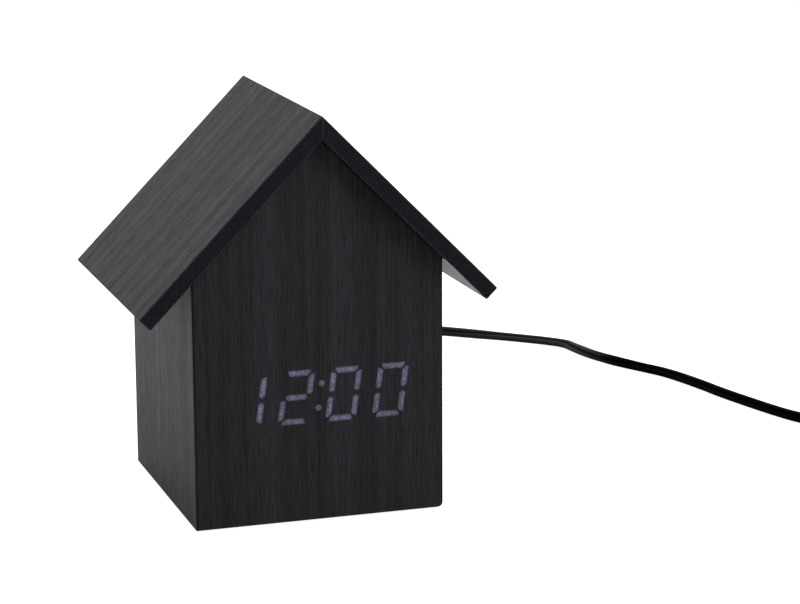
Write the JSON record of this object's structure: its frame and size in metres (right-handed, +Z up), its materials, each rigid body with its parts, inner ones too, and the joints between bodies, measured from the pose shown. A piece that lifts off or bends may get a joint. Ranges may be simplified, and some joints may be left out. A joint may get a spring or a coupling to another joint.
{
  "type": "digital alarm clock",
  "caption": "House-shaped table clock in black wood grain with lit digits behind its front, a rear service panel with buttons and battery bay, and a plug-in power cord.",
  "frame": {"origin": "on the table under the middle of the house's body", "axes": "+Z is up, the digits face -Y, and +X is to the right as the digits are read"},
  "size_m": [0.3667, 0.3184, 0.1509],
  "materials": {
    "black_board": "wood-grain foil, semi-gloss",
    "grain_sheet": "wood-grain foil, semi-gloss",
    "rubber_foot": "matte",
    "black_plastic": "fine texture",
    "lit_diffuser": "lit milky resin",
    "dark_diffuser": "unlit smoked resin",
    "circuit_board": "solder mask",
    "led_body": "clear resin on white",
    "screw_steel": "zinc plated",
    "chip_black": "moulded epoxy",
    "can_metal": "drawn can",
    "connector_white": "nylon",
    "ribbon_grey": "soft vinyl",
    "cell_jacket": "printed film over steel",
    "nickel": "nickel plated",
    "wire_red": "soft vinyl",
    "wire_black": "soft vinyl",
    "cord_black": "satin vinyl",
    "plug_black": "moulded vinyl",
    "tie_black": "woven strap",
    "tongue_white": "moulded"
  },
  "bodies": {
    "clock": {"front_panel": "black_board", "front_veneer": "grain_sheet", "left_side_panel": "black_board", "right_side_panel": "black_board", "back_panel": "black_board", "bottom_panel": "black_board", "rubber_feet": "rubber_foot", "left_roof_board": "black_board", "right_roof_board": "black_board", "display_reflector": "black_plastic", "lit_segments": "lit_diffuser", "unlit_segments": "dark_diffuser", "display_board": "circuit_board", "display_leds": "led_body", "display_screws": "screw_steel", "driver_chip": "chip_black", "capacitors": "can_metal", "display_connector": "connector_white", "ribbon_cable": "ribbon_grey", "control_connector": "connector_white", "service_panel": "black_plastic", "panel_screws": "screw_steel", "aaa_cell_1": "cell_jacket", "aaa_cell_2": "cell_jacket", "aaa_cell_3": "cell_jacket", "spring_contacts": "nickel", "flat_contacts": "nickel", "battery_leads": "wire_red", "control_board": "circuit_board", "control_screws": "screw_steel", "control_chip": "chip_black", "clock_crystal": "can_metal", "buzzer": "black_plastic", "microphone": "can_metal", "tact_switches": "chip_black", "power_socket": "black_plastic", "socket_pin": "nickel", "socket_leads": "wire_black"},
    "set_button": {"set_button": "black_plastic", "set_plunger": "chip_black"},
    "up_button": {"up_button": "black_plastic", "up_plunger": "chip_black"},
    "down_button": {"down_button": "black_plastic", "down_plunger": "chip_black"},
    "battery_cover": {"battery_cover": "black_plastic"},
    "power_cable": {"dc_plug_barrel": "nickel", "dc_plug_housing": "plug_black", "plug_relief": "plug_black", "power_cord": "cord_black", "cord_coil": "cord_black", "coil_tie": "tie_black", "cord_tail": "cord_black", "usb_housing": "plug_black", "usb_shell": "nickel", "usb_tongue": "tongue_white"}
  },
  "joints": [
    {"name": "set_button_press", "type": "slide", "parent": "clock", "child": "set_button", "axis": [0, -1, 0], "range_m": [0, 0.0005], "stiffness_N_per_m": 2400},
    {"name": "up_button_press", "type": "slide", "parent": "clock", "child": "up_button", "axis": [0, -1, 0], "range_m": [0, 0.0005], "stiffness_N_per_m": 2400},
    {"name": "down_button_press", "type": "slide", "parent": "clock", "child": "down_button", "axis": [0, -1, 0], "range_m": [0, 0.0005], "stiffness_N_per_m": 2400},
    {"name": "battery_cover_pull", "type": "slide", "parent": "clock", "child": "battery_cover", "axis": [0, 1, 0], "range_m": [0, 0.015]},
    {"name": "power_plug_pull", "type": "slide", "parent": "clock", "child": "power_cable", "axis": [0, 1, 0], "range_m": [0, 0.012]}
  ]
}
